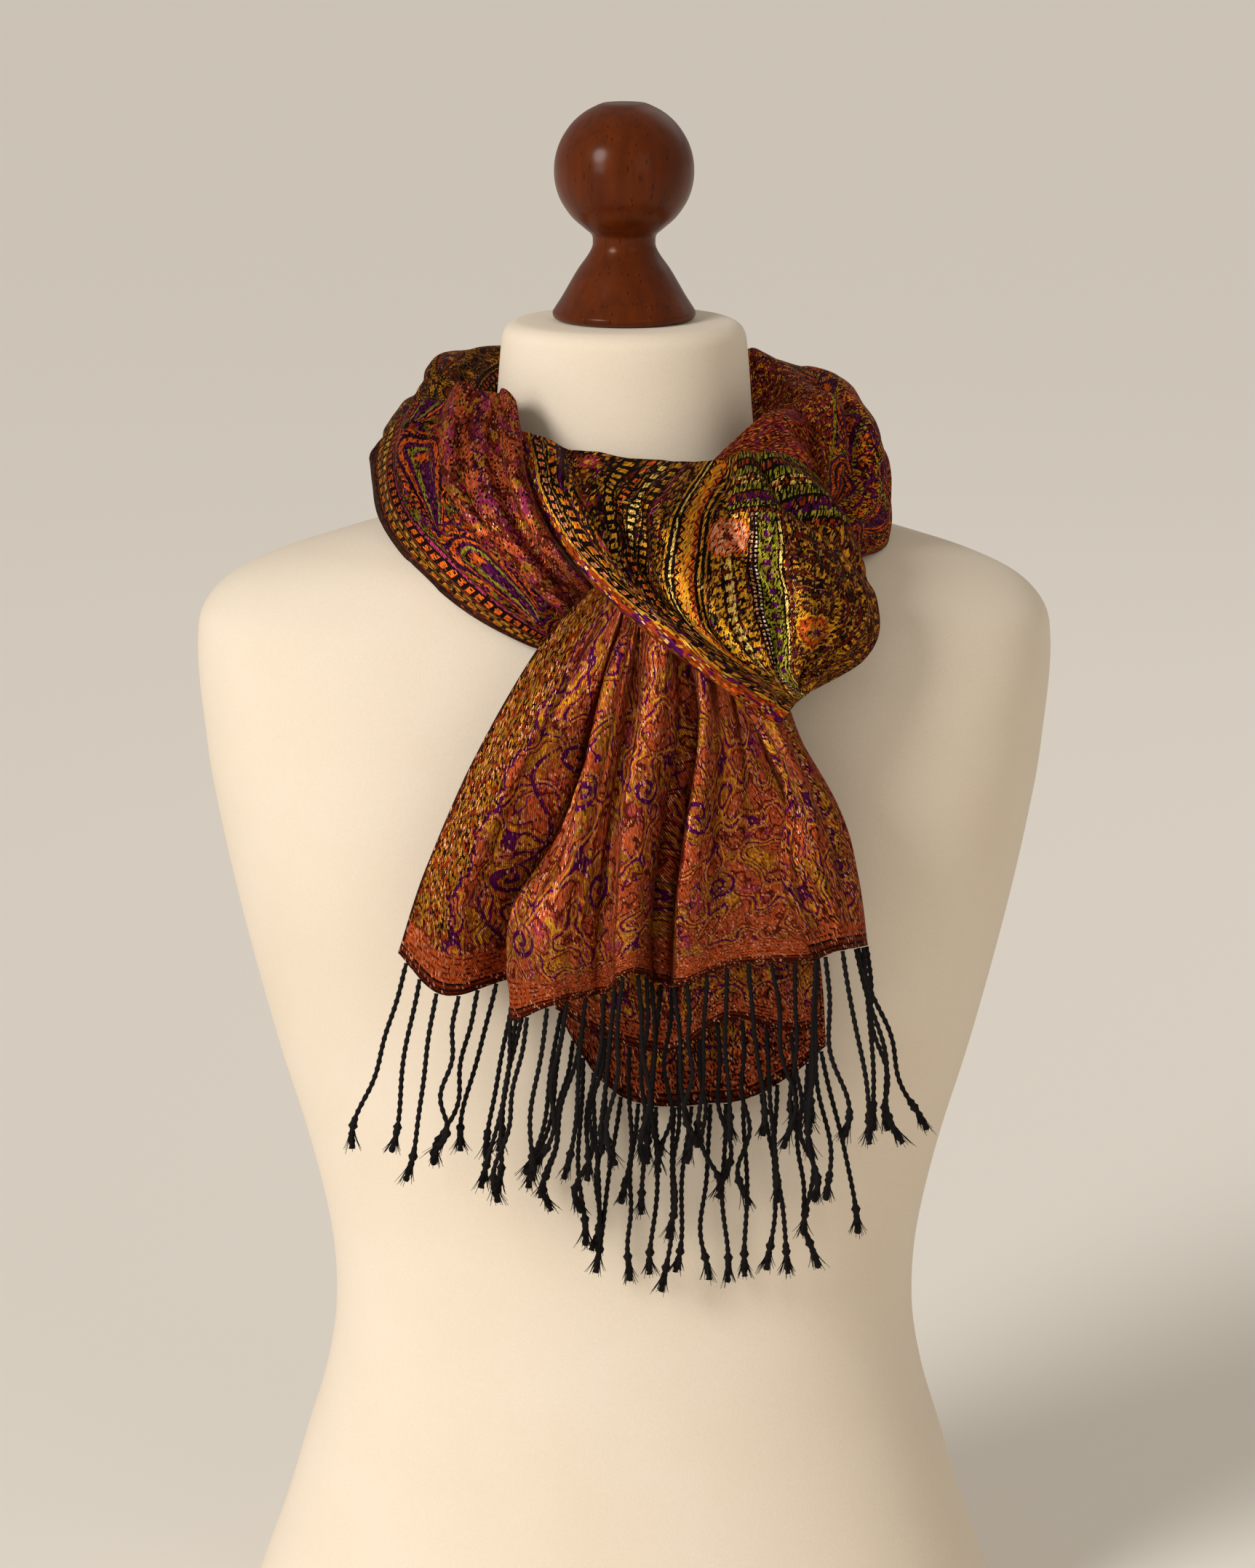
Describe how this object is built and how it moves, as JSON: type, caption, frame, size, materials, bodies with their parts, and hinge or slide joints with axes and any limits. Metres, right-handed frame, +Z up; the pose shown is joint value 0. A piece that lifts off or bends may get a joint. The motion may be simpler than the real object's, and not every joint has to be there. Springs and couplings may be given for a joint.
{
  "type": "silk shawl on a limbless dress form",
  "caption": "Fringed jacquard silk shawl, doubled and looped through itself round the neck of a limbless dress form with a turned wooden cap.",
  "frame": {"origin": "centre of the dress form's flat base, on the surface that it stands on", "axes": "+Z up along the neck, -Y the way the form faces, +X to the viewer's right"},
  "size_m": [0.384, 0.2775, 0.7024],
  "materials": {
    "cotton_jersey": "fine cotton jersey stretched over the form, matte",
    "stained_wood": "turned beech, reddish brown stain, gloss varnish",
    "jacquard_silk": "jacquard woven silk, soft sheen along the folds",
    "fringe_silk": "two-ply twisted silk cord with knotted, teased ends"
  },
  "bodies": {
    "root": {"form_torso": "cotton_jersey", "form_cap": "stained_wood", "shawl_back": "jacquard_silk", "shawl_left": "jacquard_silk", "shawl_right": "jacquard_silk", "shawl_right_fold": "jacquard_silk", "shawl_loop": "jacquard_silk", "tail_front": "jacquard_silk", "tail_side": "jacquard_silk", "tail_back": "jacquard_silk", "tail_back_fold": "jacquard_silk", "fringe_front": "fringe_silk", "fringe_side": "fringe_silk", "fringe_back": "fringe_silk", "fringe_back_fold": "fringe_silk"}
  },
  "joints": []
}
